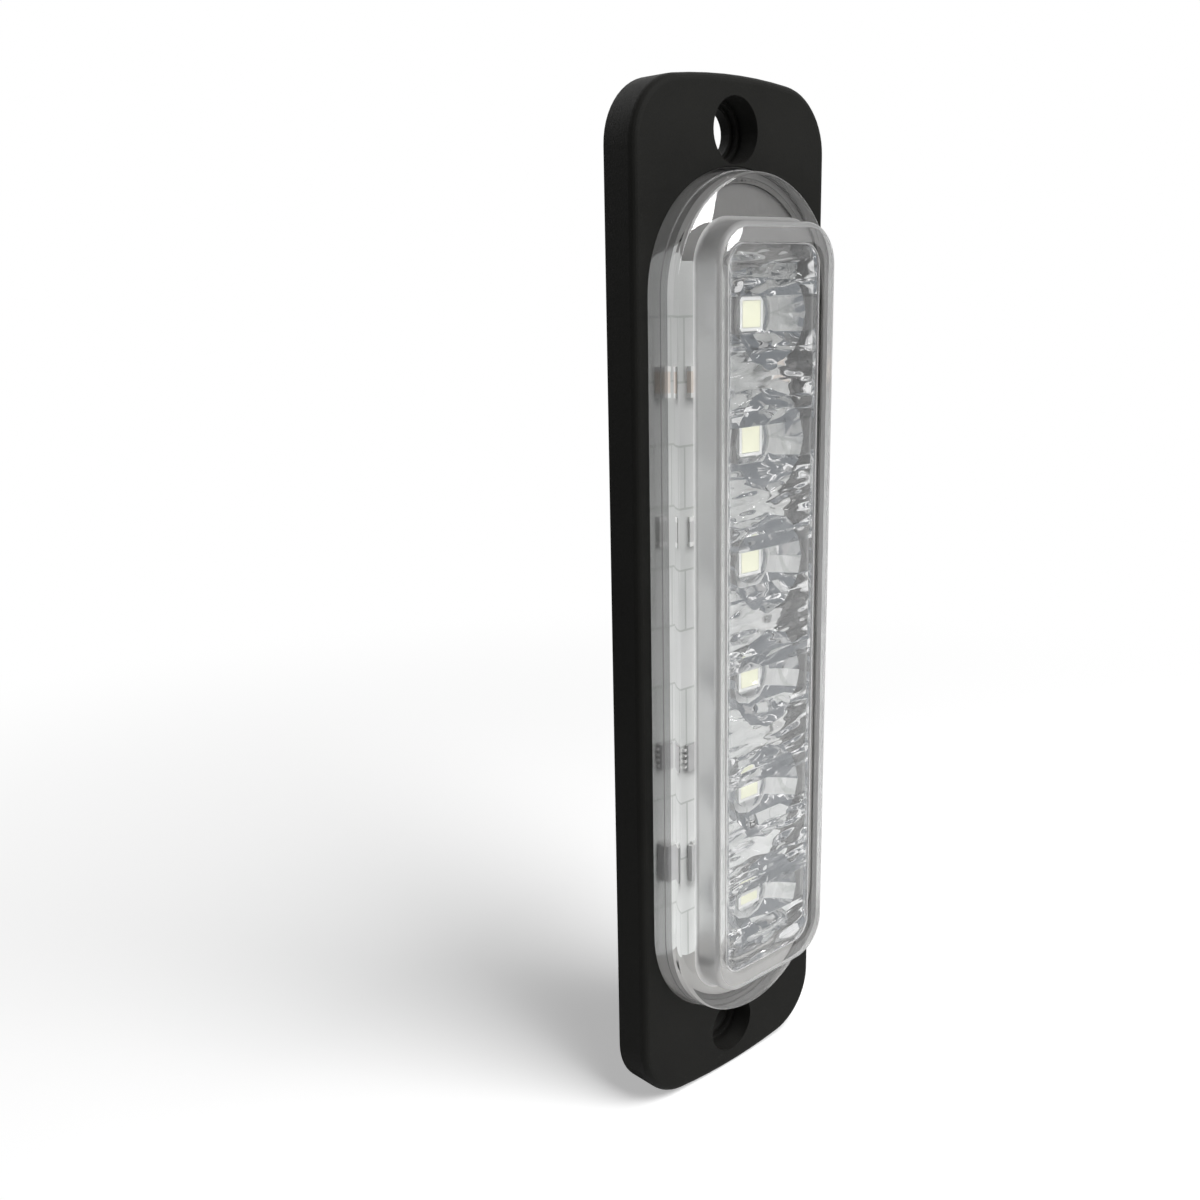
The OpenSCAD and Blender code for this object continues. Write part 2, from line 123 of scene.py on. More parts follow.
# Studio: white behind the pod, and a dimmer room in front of it. The camera sees plain white, and only
# rays that come off or through a glossy surface see the room; matt surfaces get little light from it.
ROOM_IN_FRONT, ROOM_FOR_MATT = 0.42, 0.03
BLEND_FROM, BLEND_TO = -0.25, 0.25

studio = bpy.data.worlds.new("studio")
studio.use_nodes = True
bpy.context.scene.world = studio
nodes, links = studio.node_tree.nodes, studio.node_tree.links
nodes.clear()
ray = nodes.new("ShaderNodeLightPath")
way = nodes.new("ShaderNodeTexCoord")
parts = nodes.new("ShaderNodeSeparateXYZ")
room = nodes.new("ShaderNodeMapRange")
room.interpolation_type = "SMOOTHSTEP"
room.inputs["From Min"].default_value = BLEND_FROM
room.inputs["From Max"].default_value = BLEND_TO
room.inputs["To Min"].default_value = ROOM_IN_FRONT
glossy = nodes.new("ShaderNodeMath")
glossy.operation = "MAXIMUM"
for_glossy = nodes.new("ShaderNodeMath")
for_glossy.operation = "MULTIPLY"
for_camera = nodes.new("ShaderNodeMath")
for_camera.operation = "MAXIMUM"
for_matt = nodes.new("ShaderNodeMath")
for_matt.operation = "MAXIMUM"
for_matt.inputs[1].default_value = ROOM_FOR_MATT
sky = nodes.new("ShaderNodeBackground")
sky.inputs["Color"].default_value = (1, 1, 1, 1)
out = nodes.new("ShaderNodeOutputWorld")
links.new(way.outputs["Generated"], parts.inputs[0])
links.new(parts.outputs["Y"], room.inputs["Value"])
links.new(ray.outputs["Is Glossy Ray"], glossy.inputs[0])
links.new(ray.outputs["Is Transmission Ray"], glossy.inputs[1])
links.new(room.outputs[0], for_glossy.inputs[0])
links.new(glossy.outputs[0], for_glossy.inputs[1])
links.new(for_glossy.outputs[0], for_camera.inputs[0])
links.new(ray.outputs["Is Camera Ray"], for_camera.inputs[1])
links.new(for_camera.outputs[0], for_matt.inputs[0])
links.new(for_matt.outputs[0], sky.inputs["Strength"])
links.new(sky.outputs[0], out.inputs["Surface"])


# Lamps: one broad softbox in front of the pod, to the right of the camera, and a weaker one behind it. A
# third one lights the floor alone and throws the pod's shadow to its left.
SOFTBOX_DISTANCE = 0.60


def towards(azimuth, elevation):
    """Direction from the pod to a lamp, by angles in degrees. The azimuth runs from +X towards -Y."""
    a, e = math.radians(azimuth), math.radians(elevation)
    return Vector((math.cos(e) * math.cos(a), -math.cos(e) * math.sin(a), math.sin(e)))


def panel_lamp(name, width, height, radiance, way, place):
    """A rectangular panel at this place. It shines back along this way and hides from the camera."""
    panel_data = bpy.data.lights.new(name, "AREA")
    panel_data.shape = "RECTANGLE"
    panel_data.size = width
    panel_data.size_y = height
    panel_data.energy = radiance * math.pi * width * height
    panel = bpy.data.objects.new(name, panel_data)
    panel.location = place
    panel.rotation_euler = way.to_track_quat("Z", "Y").to_euler()
    bpy.context.scene.collection.objects.link(panel)
    panel.visible_camera = False
    return panel


def softbox(name, azimuth, elevation, side, radiance):
    """A square panel that faces the pod and doesn't show through its clear pieces."""
    way = towards(azimuth, elevation)
    panel = panel_lamp(name, side, side, radiance, way, way * SOFTBOX_DISTANCE)
    panel.visible_transmission = False
    return panel


def lights_only(panel, piece, state="INCLUDE"):
    """A lamp lights this piece alone, or with the state EXCLUDE everything but this piece."""
    lit = bpy.data.collections.new("lit_by_" + panel.name)
    lit.objects.link(piece)
    lit.collection_objects[0].light_linking.link_state = state
    panel.light_linking.receiver_collection = lit


# Azimuth and elevation in degrees, side in m, and radiance
lights_only(softbox("key_panel", 72, 32, 0.46, 5.0), floor, "EXCLUDE")
lights_only(softbox("back_panel", 268, 25, 0.40, 2.0), floor, "EXCLUDE")
lights_only(softbox("floor_panel", 80, 52, 0.42, 8.4), floor)


# Housing: black glass-filled plastic, moulded in one piece with a fine spark-eroded grain on its faces.
# It is screwed to the panel behind through its two stepped bores, and a little dust lies on its top.
def new_group(name, inputs, outputs):
    """Node group with these sockets, its input and output nodes, and object coordinates."""
    group = bpy.data.node_groups.new(name, "ShaderNodeTree")
    for way, sockets in (("INPUT", inputs), ("OUTPUT", outputs)):
        for socket, kind in sockets.items():
            group.interface.new_socket(name=socket, in_out=way, socket_type="NodeSocket" + kind)
    given = group.nodes.new("NodeGroupInput")
    result = group.nodes.new("NodeGroupOutput")
    place = group.nodes.new("ShaderNodeTexCoord")
    return group, given, result, place


DUST_COLOUR = (0.46, 0.44, 0.41, 1)


def surface_group():
    """Broad unevenness, a fine grain and settled dust."""
    group, given, result, place = new_group(
        "worked_surface",
        {"Colour": "Color", "Roughness": "Float", "Grain Scale": "Float", "Unevenness": "Float",
         "Dust": "Float"},
        {"Colour": "Color", "Roughness": "Float", "Height": "Float"})
    nodes, links = group.nodes, group.links
    broad = nodes.new("ShaderNodeTexNoise")
    broad.inputs["Scale"].default_value = 110
    broad.inputs["Detail"].default_value = 4
    fine = nodes.new("ShaderNodeTexNoise")
    fine.inputs["Detail"].default_value = 2
    shade = nodes.new("ShaderNodeMapRange")
    shade.inputs["From Min"].default_value = 0.3
    shade.inputs["From Max"].default_value = 0.7
    shade.inputs["To Min"].default_value = -1
    swing = nodes.new("ShaderNodeMath")
    swing.operation = "MULTIPLY_ADD"
    swing.inputs[2].default_value = 1
    tinted = nodes.new("ShaderNodeVectorMath")
    tinted.operation = "SCALE"
    rough = nodes.new("ShaderNodeMath")
    rough.operation = "MULTIPLY"
    facing = nodes.new("ShaderNodeNewGeometry")
    upward = nodes.new("ShaderNodeSeparateXYZ")
    settled = nodes.new("ShaderNodeMath")
    settled.operation = "MULTIPLY"
    settled.use_clamp = True
    patchy = nodes.new("ShaderNodeMath")
    patchy.operation = "MULTIPLY"
    dusted = nodes.new("ShaderNodeMix")
    dusted.data_type = "RGBA"
    dusted.inputs["B"].default_value = DUST_COLOUR
    for texture in (broad, fine):
        links.new(place.outputs["Object"], texture.inputs["Vector"])
    links.new(given.outputs["Grain Scale"], fine.inputs["Scale"])
    links.new(broad.outputs["Fac"], shade.inputs["Value"])
    links.new(shade.outputs[0], swing.inputs[0])
    links.new(given.outputs["Unevenness"], swing.inputs[1])
    links.new(given.outputs["Colour"], tinted.inputs[0])
    links.new(swing.outputs[0], tinted.inputs["Scale"])
    links.new(given.outputs["Roughness"], rough.inputs[0])
    links.new(swing.outputs[0], rough.inputs[1])
    links.new(facing.outputs["Normal"], upward.inputs[0])
    links.new(upward.outputs["Z"], settled.inputs[0])
    links.new(given.outputs["Dust"], settled.inputs[1])
    links.new(settled.outputs[0], patchy.inputs[0])
    links.new(broad.outputs["Fac"], patchy.inputs[1])
    links.new(patchy.outputs[0], dusted.inputs["Factor"])
    links.new(tinted.outputs[0], dusted.inputs["A"])
    links.new(dusted.outputs["Result"], result.inputs["Colour"])
    links.new(rough.outputs[0], result.inputs["Roughness"])
    links.new(fine.outputs["Fac"], result.inputs["Height"])
    return group


worked_surface = surface_group()


def solid_material(name, colour, roughness, grain=9000, depth=0.00002, unevenness=0.12, dust=0.0,
                   specular=0.5):
    """Opaque material with a worked surface, whose grain is this deep (m)."""
    material = bpy.data.materials.new(name)
    material.use_nodes = True
    nodes, links = material.node_tree.nodes, material.node_tree.links
    shader = nodes["Principled BSDF"]
    shader.inputs["Specular IOR Level"].default_value = specular
    surface = nodes.new("ShaderNodeGroup")
    surface.node_tree = worked_surface
    surface.inputs["Colour"].default_value = (*colour, 1)
    surface.inputs["Roughness"].default_value = roughness
    surface.inputs["Grain Scale"].default_value = grain
    surface.inputs["Unevenness"].default_value = unevenness
    surface.inputs["Dust"].default_value = dust
    bump = nodes.new("ShaderNodeBump")
    bump.inputs["Distance"].default_value = depth
    links.new(surface.outputs["Colour"], shader.inputs["Base Color"])
    links.new(surface.outputs["Roughness"], shader.inputs["Roughness"])
    links.new(surface.outputs["Height"], bump.inputs["Height"])
    links.new(bump.outputs["Normal"], shader.inputs["Normal"])
    return material


def dress(node, material):
    """Gives a CAD node this material alone."""
    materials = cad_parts[node].data.materials
    materials.clear()
    materials.append(material)


GLUE_GREY = (0.14, 0.138, 0.134)
# Half of the recess's straight length, its end radius, and where the film lies in depth, in m
RECESS_STRAIGHT, RECESS_R = 0.03495, 0.01295
FILM_MIDDLE, FILM_REACH = -0.0026, 0.0018


def housing_material():
    """Black moulding. Inside the recess a grey film of glue covers the ledge and the pocket's wall."""
    material = solid_material("black_moulding", (0.0150, 0.0150, 0.0138), 0.46, grain=7000, depth=0.00004,
                              unevenness=0.15, dust=0.04, specular=0.05)
    nodes, links = material.node_tree.nodes, material.node_tree.links
    place = nodes.new("ShaderNodeTexCoord")
    parts = nodes.new("ShaderNodeSeparateXYZ")
    along = nodes.new("ShaderNodeMath")
    along.operation = "ABSOLUTE"
    past_straight = nodes.new("ShaderNodeMath")
    past_straight.operation = "SUBTRACT"
    past_straight.inputs[1].default_value = RECESS_STRAIGHT
    to_centre = nodes.new("ShaderNodeMath")
    to_centre.operation = "MAXIMUM"
    to_centre.inputs[1].default_value = 0
    flat = nodes.new("ShaderNodeCombineXYZ")
    off_axis = nodes.new("ShaderNodeVectorMath")
    off_axis.operation = "LENGTH"
    in_recess = nodes.new("ShaderNodeMath")
    in_recess.operation = "LESS_THAN"
    in_recess.inputs[1].default_value = RECESS_R
    inside = nodes.new("ShaderNodeMath")
    inside.operation = "COMPARE"
    inside.inputs[1].default_value = FILM_MIDDLE
    inside.inputs[2].default_value = FILM_REACH
    film = nodes.new("ShaderNodeMath")
    film.operation = "MULTIPLY"
    glued = nodes.new("ShaderNodeMix")
    glued.data_type = "RGBA"
    glued.inputs["B"].default_value = (*GLUE_GREY, 1)
    links.new(place.outputs["Object"], parts.inputs[0])
    links.new(parts.outputs["Z"], along.inputs[0])
    links.new(along.outputs[0], past_straight.inputs[0])
    links.new(past_straight.outputs[0], to_centre.inputs[0])
    links.new(parts.outputs["X"], flat.inputs["X"])
    links.new(to_centre.outputs[0], flat.inputs["Y"])
    links.new(flat.outputs[0], off_axis.inputs[0])
    links.new(off_axis.outputs["Value"], in_recess.inputs[0])
    links.new(parts.outputs["Y"], inside.inputs[0])
    links.new(in_recess.outputs[0], film.inputs[0])
    links.new(inside.outputs[0], film.inputs[1])
    links.new(film.outputs[0], glued.inputs["Factor"])
    links.new(nodes["Group"].outputs["Colour"], glued.inputs["A"])
    links.new(glued.outputs["Result"], nodes["Principled BSDF"].inputs["Base Color"])
    return material


dress("housing", housing_material())

# Cable inlet and sealing bead: black rubber. The grommet is pressed into the floor of the housing. The
# bead lies in the ledge's groove under the cover, and grey glue coats it.
RUBBER_BLACK = (0.018, 0.018, 0.018)

rubber = solid_material("black_rubber", RUBBER_BLACK, 0.72, grain=4000, depth=0.00005, dust=0.05)
dress("cable_grommet", rubber)
dress("lens_seal", solid_material("glued_bead", GLUE_GREY, 0.5, grain=3000, depth=0.00004))

# Heat pad and potting resin: the soft grey pad lies under the board. The grey resin was poured round the
# board and the grommet, and set with a smooth skin.
PAD_GREY, RESIN_GREY = (0.30, 0.34, 0.38), (0.14, 0.138, 0.134)
FADE_END = 0.035


def painted_light_below_group():
    """Painted light: colour that rises by a share from the pod's upper end to its lower end."""
    group, given, result, place = new_group("painted_light_below", {"Colour": "Color", "Share": "Float"},
                                            {"Colour": "Color"})
    nodes, links = group.nodes, group.links
    parts = nodes.new("ShaderNodeSeparateXYZ")
    down = nodes.new("ShaderNodeMapRange")
    down.inputs["From Min"].default_value = FADE_END
    down.inputs["From Max"].default_value = -FADE_END
    level = nodes.new("ShaderNodeMath")
    level.operation = "MULTIPLY_ADD"
    level.inputs[2].default_value = 1
    scaled = nodes.new("ShaderNodeVectorMath")
    scaled.operation = "SCALE"
    links.new(place.outputs["Object"], parts.inputs[0])
    links.new(parts.outputs["Z"], down.inputs["Value"])
    links.new(down.outputs[0], level.inputs[0])
    links.new(given.outputs["Share"], level.inputs[1])
    links.new(given.outputs["Colour"], scaled.inputs[0])
    links.new(level.outputs[0], scaled.inputs["Scale"])
    links.new(scaled.outputs[0], result.inputs["Colour"])
    return group


painted_light_below = painted_light_below_group()


def paint_light_below(material, share):
    """Paints light into a material: paler towards the pod's lower end, by this share."""
    nodes, links = material.node_tree.nodes, material.node_tree.links
    base = nodes["Principled BSDF"].inputs["Base Color"]
    risen = nodes.new("ShaderNodeGroup")
    risen.node_tree = painted_light_below
    risen.inputs["Share"].default_value = share
    links.new(base.links[0].from_socket, risen.inputs["Colour"])
    links.new(risen.outputs["Colour"], base)
    return material


dress("thermal_pad", solid_material("heat_pad", PAD_GREY, 0.75, grain=2500, depth=0.00003))
resin = solid_material("resin", RESIN_GREY, 0.35, grain=500, depth=0.00008, unevenness=0.06)
# Painted light: the resin gets paler towards the pod's lower end.
dress("potting_resin", paint_light_below(resin, 1.9))


# Board: a metal-core board with a white solder mask, through which faint copper tracks show. It lies on
# the heat pad, and the pins of the collimator strip hold it in place.
MASK_WHITE = (0.44, 0.444, 0.44)
BARE, OVER_COPPER, TRACK_EDGE = (1, 1, 1, 1), (0.95, 0.96, 0.95, 1), (0.72, 0.74, 0.72, 1)


def board_material():
    """White mask over a brick pattern of copper areas. The pattern's sizes are in cm."""
    material = solid_material("white_mask", MASK_WHITE, 0.38, grain=6000, unevenness=0.05)
    nodes, links = material.node_tree.nodes, material.node_tree.links
    place = nodes.new("ShaderNodeTexCoord")
    across = nodes.new("ShaderNodeMapping")
    across.inputs["Rotation"].default_value = (math.pi / 2, 0, 0)
    tracks = nodes.new("ShaderNodeTexBrick")
    tracks.offset = 0.37
    tracks.inputs["Color1"].default_value = BARE
    tracks.inputs["Color2"].default_value = OVER_COPPER
    tracks.inputs["Mortar"].default_value = TRACK_EDGE
    tracks.inputs["Scale"].default_value = 100
    tracks.inputs["Mortar Size"].default_value = 0.012
    tracks.inputs["Brick Width"].default_value = 0.43
    tracks.inputs["Row Height"].default_value = 0.66
    masked = nodes.new("ShaderNodeMix")
    masked.data_type = "RGBA"
    masked.blend_type = "MULTIPLY"
    masked.inputs["Factor"].default_value = 1
    surface = nodes["Group"]
    links.new(place.outputs["Object"], across.inputs["Vector"])
    links.new(across.outputs[0], tracks.inputs["Vector"])
    links.new(surface.outputs["Colour"], masked.inputs["A"])
    links.new(tracks.outputs["Color"], masked.inputs["B"])
    links.new(masked.outputs["Result"], nodes["Principled BSDF"].inputs["Base Color"])
    return material


# Painted light: the board gets paler towards the pod's lower end.
dress("circuit_board", paint_light_below(board_material(), 0.85))

# LEDs: six white ceramic packages, soldered in a row down the middle of the board. Each one has a well of
# pale yellow phosphor in silicone, and sits under its own collimator.
CERAMIC_WHITE, PHOSPHOR_YELLOW = (0.85, 0.85, 0.83), (0.98, 0.985, 0.74)

ceramic = solid_material("led_ceramic", CERAMIC_WHITE, 0.35, grain=9000, unevenness=0.03)
phosphor = solid_material("phosphor", PHOSPHOR_YELLOW, 0.5, grain=16000, depth=0.00003, unevenness=0.04)
for i in range(1, 7):
    dress(f"led_{i}", ceramic)
    dress(f"phosphor_{i}", phosphor)


# Small parts on the board: two regulators and a diode in moulding compound, and ceramic chips. Their bodies
# are painted paler than the parts are, as painted light on sides that the lamps leave in shade. Their leads
# and ends are tinned, and each one is soldered down beside the LEDs.
TIN = (0.75, 0.75, 0.74, 1)
TIN_METALLIC = 0.15


def tinned_ends_group():
    """Body colour up to this far (m) from a part's middle along one axis, and bright tin beyond it."""
    group, given, result, place = new_group(
        "tinned_ends", {"Colour": "Color", "Axis": "Vector", "Middle": "Float", "Body": "Float"},
        {"Colour": "Color", "Metallic": "Float"})
    nodes, links = group.nodes, group.links
    along = nodes.new("ShaderNodeVectorMath")
    along.operation = "DOT_PRODUCT"
    off_middle = nodes.new("ShaderNodeMath")
    off_middle.operation = "SUBTRACT"
    away = nodes.new("ShaderNodeMath")
    away.operation = "ABSOLUTE"
    is_tin = nodes.new("ShaderNodeMath")
    is_tin.operation = "GREATER_THAN"
    tinned = nodes.new("ShaderNodeMix")
    tinned.data_type = "RGBA"
    tinned.inputs["B"].default_value = TIN
    metal = nodes.new("ShaderNodeMath")
    metal.operation = "MULTIPLY"
    metal.inputs[1].default_value = TIN_METALLIC
    links.new(place.outputs["Object"], along.inputs[0])
    links.new(given.outputs["Axis"], along.inputs[1])
    links.new(along.outputs["Value"], off_middle.inputs[0])
    links.new(given.outputs["Middle"], off_middle.inputs[1])
    links.new(off_middle.outputs[0], away.inputs[0])
    links.new(away.outputs[0], is_tin.inputs[0])
    links.new(given.outputs["Body"], is_tin.inputs[1])
    links.new(is_tin.outputs[0], tinned.inputs["Factor"])
    links.new(given.outputs["Colour"], tinned.inputs["A"])
    links.new(tinned.outputs["Result"], result.inputs["Colour"])
    links.new(is_tin.outputs[0], metal.inputs[0])
    links.new(metal.outputs[0], result.inputs["Metallic"])
    return group


tinned_ends = tinned_ends_group()


def chip_material(name, colour, axis, middle, body):
    """Moulded or glazed body with tinned ends."""
    material = solid_material(name, colour, 0.45, grain=7000, depth=0.00003, unevenness=0.10)
    nodes, links = material.node_tree.nodes, material.node_tree.links
    ends = nodes.new("ShaderNodeGroup")
    ends.node_tree = tinned_ends
    ends.inputs["Axis"].default_value = axis
    ends.inputs["Middle"].default_value = middle
    ends.inputs["Body"].default_value = body
    links.new(nodes["Group"].outputs["Colour"], ends.inputs["Colour"])
    links.new(ends.outputs["Colour"], nodes["Principled BSDF"].inputs["Base Color"])
    links.new(ends.outputs["Metallic"], nodes["Principled BSDF"].inputs["Metallic"])
    return material


ACROSS, ALONG = (1, 0, 0), (0, 0, 1)
# Body colours, each paler than the real part: painted light on sides the lamps leave in shade
MOULDED_PAINTED_PALE, GLAZE_PAINTED_PALE, TAN_PAINTED_PALE = (0.52, 0.52, 0.52), (0.52, 0.52, 0.515), (0.62, 0.56, 0.51)

# Body colour, axis to the tinned ends, the part's middle on that axis and half its body's length, in m
for node, colour, axis, middle, body in (
        ("regulator_1", MOULDED_PAINTED_PALE, ACROSS, -0.0074, 0.0015), ("regulator_2", MOULDED_PAINTED_PALE, ACROSS, 0.0074, 0.0015),
        ("polarity_diode", MOULDED_PAINTED_PALE, ALONG, -0.02706, 0.00214),
        ("capacitor_1", TAN_PAINTED_PALE, ACROSS, 0.0074, 0.00175), ("capacitor_2", TAN_PAINTED_PALE, ALONG, 0.0264, 0.0011),
        ("resistor_1", GLAZE_PAINTED_PALE, ALONG, 0.010692, 0.0011), ("resistor_2", GLAZE_PAINTED_PALE, ALONG, 0.0132, 0.0011),
        ("resistor_3", GLAZE_PAINTED_PALE, ALONG, -0.0132, 0.0011), ("resistor_4", GLAZE_PAINTED_PALE, ALONG, -0.01716, 0.0011)):
    dress(node, chip_material(node + "_ends", colour, axis, middle, body))


# Collimator strip: clear acrylic, moulded in one piece: six horns with flat facets under one front plate,
# and a hollow in the back of each horn that fits over its LED. It stands on the board on two feet.
def outline(bm, width, length, radius, height, steps=24):
    """Ring of edges with round corners, in mm, this far in front of the back face."""
    radius = min(radius, width / 2 - 0.001)
    size = Matrix.Diagonal((width / 1000, length / 1000, 1, 1))
    stand = Matrix.Translation((0, -height / 1000, 0)) @ Matrix.Rotation(math.pi / 2, 4, "X") @ size
    old = set(bm.edges)
    corners = bmesh.ops.create_grid(bm, x_segments=1, y_segments=1, size=0.5, matrix=stand)["verts"]
    bmesh.ops.bevel(bm, geom=corners, offset=radius / 1000, segments=steps, profile=0.5,
                    affect="VERTICES", material=-1)
    edges = [e for e in bm.edges if e not in old]
    faces = list({f for e in edges for f in e.link_faces})
    bmesh.ops.delete(bm, geom=faces, context="FACES_ONLY")
    return edges, (width, length, radius)


def step_to(bm, ring, width, length, radius, height):
    """Extrudes a ring to another outline: each corner's points move with the middle of that corner."""
    edges, (old_width, old_length, old_radius) = ring
    radius = min(radius, width / 2 - 0.001)
    made = bmesh.ops.extrude_edge_only(bm, edges=edges)["geom"]
    verts = [g for g in made if isinstance(g, bmesh.types.BMVert)]
    for v in verts:
        for axis, old_size, size in ((0, old_width, width), (2, old_length, length)):
            side = math.copysign(1, v.co[axis])
            from_middle = v.co[axis] * 1000 - side * (old_size / 2 - old_radius)
            v.co[axis] = (side * (size / 2 - radius) + from_middle * radius / old_radius) / 1000
        v.co.y = -height / 1000
    kept = set(verts)
    edges = [g for g in made if isinstance(g, bmesh.types.BMEdge) and kept.issuperset(g.verts)]
    return edges, (width, length, radius)


def rounded_over(inset, top, radius, steps=6):
    """Profile of a rounded edge that starts at an inset and ends on a face at this height."""
    return [(inset + radius * (1 - math.cos(math.radians(90 * i / steps))),
             top - radius + radius * math.sin(math.radians(90 * i / steps))) for i in range(steps + 1)]


def rounded_up(inset, bottom, radius, steps=5):
    """Profile of a fillet that starts on a face at this height and ends at an inset."""
    return [(inset - radius + radius * math.sin(math.radians(90 * i / steps)),
             bottom + radius - radius * math.cos(math.radians(90 * i / steps))) for i in range(steps + 1)]


def wall(bm, width, length, radius, profile, ring=None):
    """Wall whose side runs through (inset, height) points in mm, from a ring or from a new one."""
    first = ring
    for inset, height in profile:
        shape = (width - 2 * inset, length - 2 * inset, radius - inset, height)
        if ring:
            ring = step_to(bm, ring, *shape)
        else:
            first = ring = outline(bm, *shape)
    return first, ring


def finish_mesh(name, bm, sharp=30):
    """Object from a closed mesh, shaded smooth apart from edges past this angle."""
    bmesh.ops.remove_doubles(bm, verts=bm.verts, dist=1e-7)
    bmesh.ops.recalc_face_normals(bm, faces=bm.faces)
    for face in bm.faces:
        face.smooth = True
    for edge in bm.edges:
        if len(edge.link_faces) == 2 and edge.calc_face_angle() > math.radians(sharp):
            edge.smooth = False
    mesh = bpy.data.meshes.new(name)
    bm.to_mesh(mesh)
    bm.free()
    piece = bpy.data.objects.new(name, mesh)
    bpy.context.scene.collection.objects.link(piece)
    return piece


def spun(name, points, z, steps):
    """Closed solid of revolution about the pod's depth axis, from (radius, height) points in mm."""
    bm = bmesh.new()
    verts = [bm.verts.new((r / 1000, -h / 1000, z)) for r, h in points]
    edges = [bm.edges.new(pair) for pair in zip(verts, verts[1:])]
    bmesh.ops.spin(bm, geom=verts + edges, cent=(0, 0, z), axis=(0, 1, 0), angle=2 * math.pi,
                   steps=steps, use_merge=True)
    return finish_mesh(name, bm)


def cut(piece, tool, operation):
    """Boolean of a piece with a tool, which is used up."""
    modifier = piece.modifiers.new("cut", "BOOLEAN")
    modifier.operation = operation
    modifier.object = tool
    modifier.solver = "EXACT"
    bpy.context.view_layer.update()
    depsgraph = bpy.context.evaluated_depsgraph_get()
    mesh = bpy.data.meshes.new_from_object(piece.evaluated_get(depsgraph))
    piece.modifiers.clear()
    piece.data = mesh
    bpy.data.objects.remove(tool)


def flow_marks_group():
    """Faint flow marks of moulded clear plastic, in how much it lets through and in its polish."""
    group, given, result, place = new_group("flow_marks", {"Colour": "Color", "Blur": "Float"},
                                            {"Colour": "Color", "Roughness": "Float"})
    nodes, links = group.nodes, group.links
    flow = nodes.new("ShaderNodeTexNoise")
    flow.inputs["Scale"].default_value = 160
    flow.inputs["Detail"].default_value = 3
    level = nodes.new("ShaderNodeMapRange")
    level.inputs["From Min"].default_value = 0.3
    level.inputs["From Max"].default_value = 0.7
    level.inputs["To Min"].default_value = 0.975
    scaled = nodes.new("ShaderNodeVectorMath")
    scaled.operation = "SCALE"
    polish = nodes.new("ShaderNodeMath")
    polish.operation = "MULTIPLY"
    links.new(place.outputs["Object"], flow.inputs["Vector"])
    links.new(flow.outputs["Fac"], level.inputs["Value"])
    links.new(given.outputs["Colour"], scaled.inputs[0])
    links.new(level.outputs[0], scaled.inputs["Scale"])
    links.new(level.outputs[0], polish.inputs[0])
    links.new(given.outputs["Blur"], polish.inputs[1])
    links.new(scaled.outputs[0], result.inputs["Colour"])
    links.new(polish.outputs[0], result.inputs["Roughness"])
    return group


flow_marks = flow_marks_group()


def clear_plastic(name, ior, most_steps=10.5, haze=0.0, frost=0.0, shade=0.0, blur=0.0,
                  painted_glow_colour=(0.365, 0.38, 0.39)):
    """Clear plastic. Lamp light passes it straight, so that it reaches what lies behind. After so many
    steps through clear walls a ray ends in an even grey glow. This is painted light, in place of what
    further steps would show. Frost darkens what is seen into a wall, and shade what is seen out through it."""
    material = bpy.data.materials.new(name)
    material.use_nodes = True
    nodes, links = material.node_tree.nodes, material.node_tree.links
    shader = nodes["Principled BSDF"]
    shader.inputs["IOR"].default_value = ior
    shader.inputs["Transmission Weight"].default_value = 1.0
    marks = nodes.new("ShaderNodeGroup")
    marks.node_tree = flow_marks
    marks.inputs["Blur"].default_value = blur
    side = nodes.new("ShaderNodeNewGeometry")
    tint = nodes.new("ShaderNodeMix")
    tint.data_type = "RGBA"
    tint.inputs["A"].default_value = (1 - frost, 1 - frost, 1 - frost, 1)
    tint.inputs["B"].default_value = (1 - shade, 1 - shade, 1 - shade, 1)
    scatter = nodes.new("ShaderNodeBsdfDiffuse")
    hazy = nodes.new("ShaderNodeMixShader")
    hazy.inputs[0].default_value = haze
    ray = nodes.new("ShaderNodeLightPath")
    through = nodes.new("ShaderNodeBsdfTransparent")
    through.inputs["Color"].default_value = (0.9, 0.9, 0.9, 1)
    lit = nodes.new("ShaderNodeMixShader")
    deep = nodes.new("ShaderNodeMath")
    deep.operation = "GREATER_THAN"
    deep.inputs[1].default_value = most_steps
    # Painted glow: a ray past the last step ends in this even grey light.
    painted_glow = nodes.new("ShaderNodeEmission")
    painted_glow.inputs["Color"].default_value = (*painted_glow_colour, 1)
    ended = nodes.new("ShaderNodeMixShader")
    links.new(side.outputs["Backfacing"], tint.inputs["Factor"])
    links.new(tint.outputs["Result"], marks.inputs["Colour"])
    links.new(marks.outputs["Colour"], shader.inputs["Base Color"])
    links.new(marks.outputs["Roughness"], shader.inputs["Roughness"])
    links.new(shader.outputs[0], hazy.inputs[1])
    links.new(scatter.outputs[0], hazy.inputs[2])
    links.new(ray.outputs["Is Shadow Ray"], lit.inputs[0])
    links.new(hazy.outputs[0], lit.inputs[1])
    links.new(through.outputs[0], lit.inputs[2])
    links.new(ray.outputs["Ray Depth"], deep.inputs[0])
    links.new(deep.outputs[0], ended.inputs[0])
    links.new(lit.outputs[0], ended.inputs[1])
    links.new(painted_glow.outputs[0], ended.inputs[2])
    links.new(ended.outputs[0], nodes["Material Output"].inputs["Surface"])
    return material


LED_PITCH = 0.0132
WAVE_SCALE, WAVE_DEPTH = (130, 130, 460), 0.0022
# How far from the middle of the gap between two LEDs the waves are full, and where they end, in m
WAVES_FULL, WAVES_END = 0.0031, 0.0047


